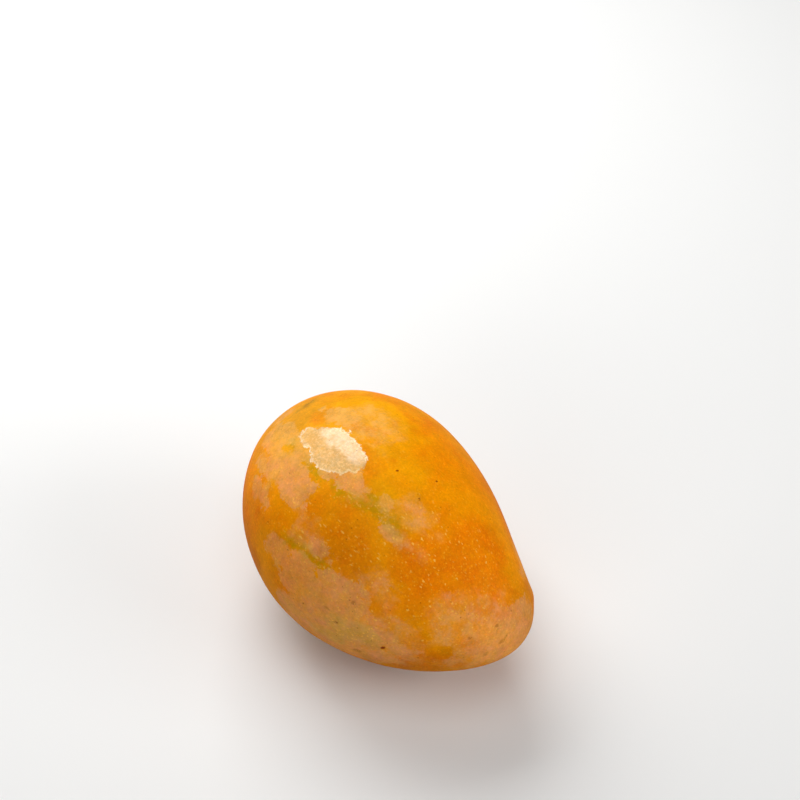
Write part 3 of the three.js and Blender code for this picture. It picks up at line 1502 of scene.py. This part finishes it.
        # The olive ring is partly the greener skin round the stalk and partly painted shade in the
        # basin.
        ring = self.around_stub(distance, borders.olive_ring)
        colour = sheet.tint(self.part(ring, self.strengths.olive_ring), colour, look.olive)
        cork = sheet.maths("MULTIPLY", ring, self.spots(SkinNoise.CORK, 0.5, 0.6))
        colour = sheet.tint(self.part(cork, self.strengths.cork), colour, look.scuff)
        stub = self.around_stub(distance, borders.stub)
        colour = sheet.tint(stub, colour, self.wood_colour(distance))
        return colour, sheet.blend(stub, roughness, look.wood_roughness), stub

    def surface(self) -> dict[str, Socket]:
        """Lays the layers over each other.

        Returns:
            The skin's colour, roughness, film and height.
        """
        sheet, look = self.sheet, self.finish
        colour = sheet.tint(self.bloom_cover(), self.ripe_skin(), self.bloom_colour())
        scuffs = self.part(self.masks[Marking.SCUFF], self.strengths.scuffs)
        colour = self.film_over(sheet.tint(scuffs, colour, look.scuff))
        small, long = self.pale_dots()
        colour = self.dots_over(colour, small, long)
        colour = sheet.tint(self.specks(), colour, look.speck)
        colour = sheet.scaled(colour, self.shade())
        colour, roughness, stub = self.stem_end(colour, self.roughness())
        height = self.height(sheet.maths("ADD", small, long), stub)
        return {"Colour": colour, "Roughness": roughness, "Film": self.shine(), "Height": height}


class MangoSkin:
    """The skin's material."""

    def __init__(self, finish: SkinFinish, fruit: SeatedFruit) -> None:
        """Builds the groups and the material.

        Args:
            finish: Colours and gloss.
            fruit: The lying fruit, for the place and the size of the stub.
        """
        self.finish = finish
        self.fruit = fruit
        self.effects = SkinEffects()
        outputs = {"Colour": "Color", "Roughness": "Float", "Film": "Float", "Height": "Float"}
        self.surface = make_group("Mango Surface", {}, outputs, self.fill_surface)
        self.material = self.make_material()

    def fill_surface(self, sheet: NodeSheet, _: dict[str, Socket]) -> dict[str, Socket]:
        """The skin's colour, roughness, film and height."""
        return SkinLayers(sheet, self.effects, self.finish, self.fruit).surface()

    def make_material(self) -> bpy.types.Material:
        """Makes one shader, with the surface group and a bump.

        Returns:
            The material.
        """
        look = self.finish
        material = bpy.data.materials.new(SLOT)
        material.use_nodes = True
        tree = material.node_tree
        tree.nodes.clear()
        sheet = NodeSheet(tree)
        surface = sheet.group(self.surface)
        bump = sheet.add("Bump")
        bump.inputs["Distance"].default_value = 1 * MM
        sheet.put(bump.inputs["Height"], surface.outputs["Height"])
        shader = sheet.add("BsdfPrincipled")
        sheet.put(shader.inputs["Base Color"], surface.outputs["Colour"])
        sheet.put(shader.inputs["Roughness"], surface.outputs["Roughness"])
        sheet.put(shader.inputs["Coat Weight"], surface.outputs["Film"])
        sheet.put(shader.inputs["Normal"], bump.outputs["Normal"])
        shader.inputs["Specular IOR Level"].default_value = look.specular
        shader.inputs["Coat Roughness"].default_value = look.coat_roughness
        shader.inputs["Coat IOR"].default_value = look.coat_ior
        result = sheet.add("OutputMaterial")
        sheet.put(result.inputs["Surface"], shader.outputs[0])
        return material


class Mango:
    """The whole fruit: its mesh, dressed in its skin."""

    def __init__(self) -> None:
        """Fits the shape to the CAD solid's box."""
        low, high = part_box(NODE)
        self.fruit = SeatedFruit(FruitShape(), low, high)

    def build(self) -> bpy.types.Object:
        """Makes the fruit, and lets it stand for the CAD node.

        Returns:
            The object.
        """
        piece = FruitMesh(self.fruit).build()
        SkinMap(self.fruit).mark(piece.data)
        skin = MangoSkin(SkinFinish(), self.fruit)
        piece.data.materials.append(skin.material)
        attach(piece, "root")
        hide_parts(NODE)
        LOG.info("%s: %d faces", piece.name, len(piece.data.polygons))
        return piece


# ---------------------------------------------------------------------------------------- studio


def bearing(azimuth: float, elevation: float) -> Vector:
    """Direction to a bearing, with both angles in degrees.

    Args:
        azimuth: Angle from +X to +Y.
        elevation: Angle above the floor.

    Returns:
        A unit vector.
    """
    turn, rise = math.radians(azimuth), math.radians(elevation)
    level = math.cos(rise)
    return Vector((math.cos(turn) * level, math.sin(turn) * level, math.sin(rise)))


@dataclass(frozen=True)
class Softbox:
    """A soft light that faces the fruit. Angles are in degrees, sizes in metres, power in watts."""

    name: str
    azimuth: float
    elevation: float
    distance: float
    width: float
    height: float
    power: float

    def build(self, target: Vector) -> bpy.types.Object:
        """Makes the light.

        Args:
            target: Where the light is turned to.

        Returns:
            The object.
        """
        light = bpy.data.lights.new(self.name, "AREA")
        light.shape = "RECTANGLE"
        light.size = self.width
        light.size_y = self.height
        light.energy = self.power
        box = linked(self.name, light)
        toward = bearing(self.azimuth, self.elevation)
        box.location = target + toward * self.distance
        box.rotation_euler = toward.to_track_quat("Z", "Y").to_euler()
        box.visible_camera = False
        return box


@dataclass(frozen=True)
class Studio:
    """Pale floor, faint ambient light and softboxes.

    The floor throws less light back than it shows, so that the fruit's underside keeps its depth.
    Far from the fruit, where the softboxes don't reach, it shows an even tone of its own.
    """

    floor_size: float = 30.0
    floor_shown: Colour = (0.88, 0.88, 0.87)
    floor_thrown: Colour = (0.42, 0.42, 0.42)
    floor_roughness: float = 0.7
    floor_far_from: float = 0.4
    floor_far_to: float = 1.6
    ambient: float = 0.06
    backdrop: float = 0.85
    softboxes: tuple[Softbox, ...] = (
        Softbox("key_softbox", 167, 46, 0.62, 0.52, 0.36, 2.9),
        Softbox("top_softbox", 320, 76, 1.4, 1.0, 1.0, 4.9),
        Softbox("right_softbox", 38, 18, 1.2, 0.8, 0.8, 8.0),
        Softbox("left_softbox", 180, 12, 1.0, 0.6, 0.5, 2.95),
        Softbox("front_softbox", 300, 18, 1.2, 0.8, 0.5, 3.9),
    )

    def build(self, target: Vector) -> None:
        """Makes the floor, the ambient light and the softboxes.

        Args:
            target: Where the softboxes are turned to.
        """
        self.build_floor()
        self.build_ambient()
        for softbox in self.softboxes:
            softbox.build(target)
            LOG.info("%s: %.1f W", softbox.name, softbox.power)
        bpy.context.scene.view_settings.view_transform = "Standard"

    def build_floor(self) -> bpy.types.Object:
        """Makes the floor, level with the fruit's underside.

        Returns:
            The object.
        """
        half = self.floor_size / 2
        corners = [(-half, -half, 0), (half, -half, 0), (half, half, 0), (-half, half, 0)]
        mesh = bpy.data.meshes.new("floor")
        mesh.from_pydata(corners, [], [(0, 1, 2, 3)])
        floor = linked("floor", mesh)
        material = bpy.data.materials.new("floor_paint")
        material.use_nodes = True
        shader = material.node_tree.nodes["Principled BSDF"]
        sheet = NodeSheet(material.node_tree)
        seen = sheet.add("LightPath").outputs["Is Camera Ray"]
        away = sheet.length(sheet.add("TexCoord").outputs["Object"])
        far = sheet.smooth(away, self.floor_far_from, self.floor_far_to)
        far = sheet.maths("MULTIPLY", seen, far)
        paint = sheet.tint(seen, self.floor_thrown, self.floor_shown)
        sheet.put(shader.inputs["Base Color"], sheet.tint(far, paint, (0.0, 0.0, 0.0)))
        shader.inputs["Emission Color"].default_value = (*self.floor_shown, 1.0)
        sheet.put(shader.inputs["Emission Strength"], sheet.maths("MULTIPLY", far, self.backdrop))
        shader.inputs["Roughness"].default_value = self.floor_roughness
        mesh.materials.append(material)
        floor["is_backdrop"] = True
        return floor

    def build_ambient(self) -> None:
        """Faint light from all round, with a pale backdrop for the camera."""
        world = bpy.data.worlds.new("studio_ambient")
        world.use_nodes = True
        sheet = NodeSheet(world.node_tree)
        background = world.node_tree.nodes["Background"]
        background.inputs["Color"].default_value = (1.0, 1.0, 1.0, 1.0)
        rays = sheet.add("LightPath")
        seen = sheet.blend(rays.outputs["Is Camera Ray"], self.ambient, self.backdrop)
        sheet.put(background.inputs["Strength"], seen)
        bpy.context.scene.world = world


@dataclass(frozen=True)
class Viewpoint:
    """The camera: it looks down on the fruit from its back and apex side.

    Azimuth 0 looks along +Y and 90 along -X, in degrees.
    """

    azimuth: float = 55.0
    elevation: float = 44.0
    distance: float = 0.683
    lens: float = 85.0
    aim: tuple[float, float, float] = (-0.07505, 0.05942, 0.0)

    def build(self) -> bpy.types.Object:
        """Makes the camera, as the one that the scene is seen with.

        Returns:
            The object.
        """
        back = bearing(self.azimuth - 90, self.elevation)
        data = bpy.data.cameras.new("camera")
        data.lens = self.lens
        camera = linked("camera", data)
        camera.location = Vector(self.aim) + back * self.distance
        camera.rotation_euler = back.to_track_quat("Z", "Y").to_euler()
        bpy.context.scene.camera = camera
        return camera


def main() -> None:
    """Builds the fruit, the studio and the camera."""
    logging.basicConfig(level=logging.INFO, format="%(message)s")
    cad_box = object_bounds()
    Viewpoint().build()
    Mango().build()
    low, high = cad_box
    Studio().build(target=(low + high) / 2)


if __name__ == "__main__":
    main()
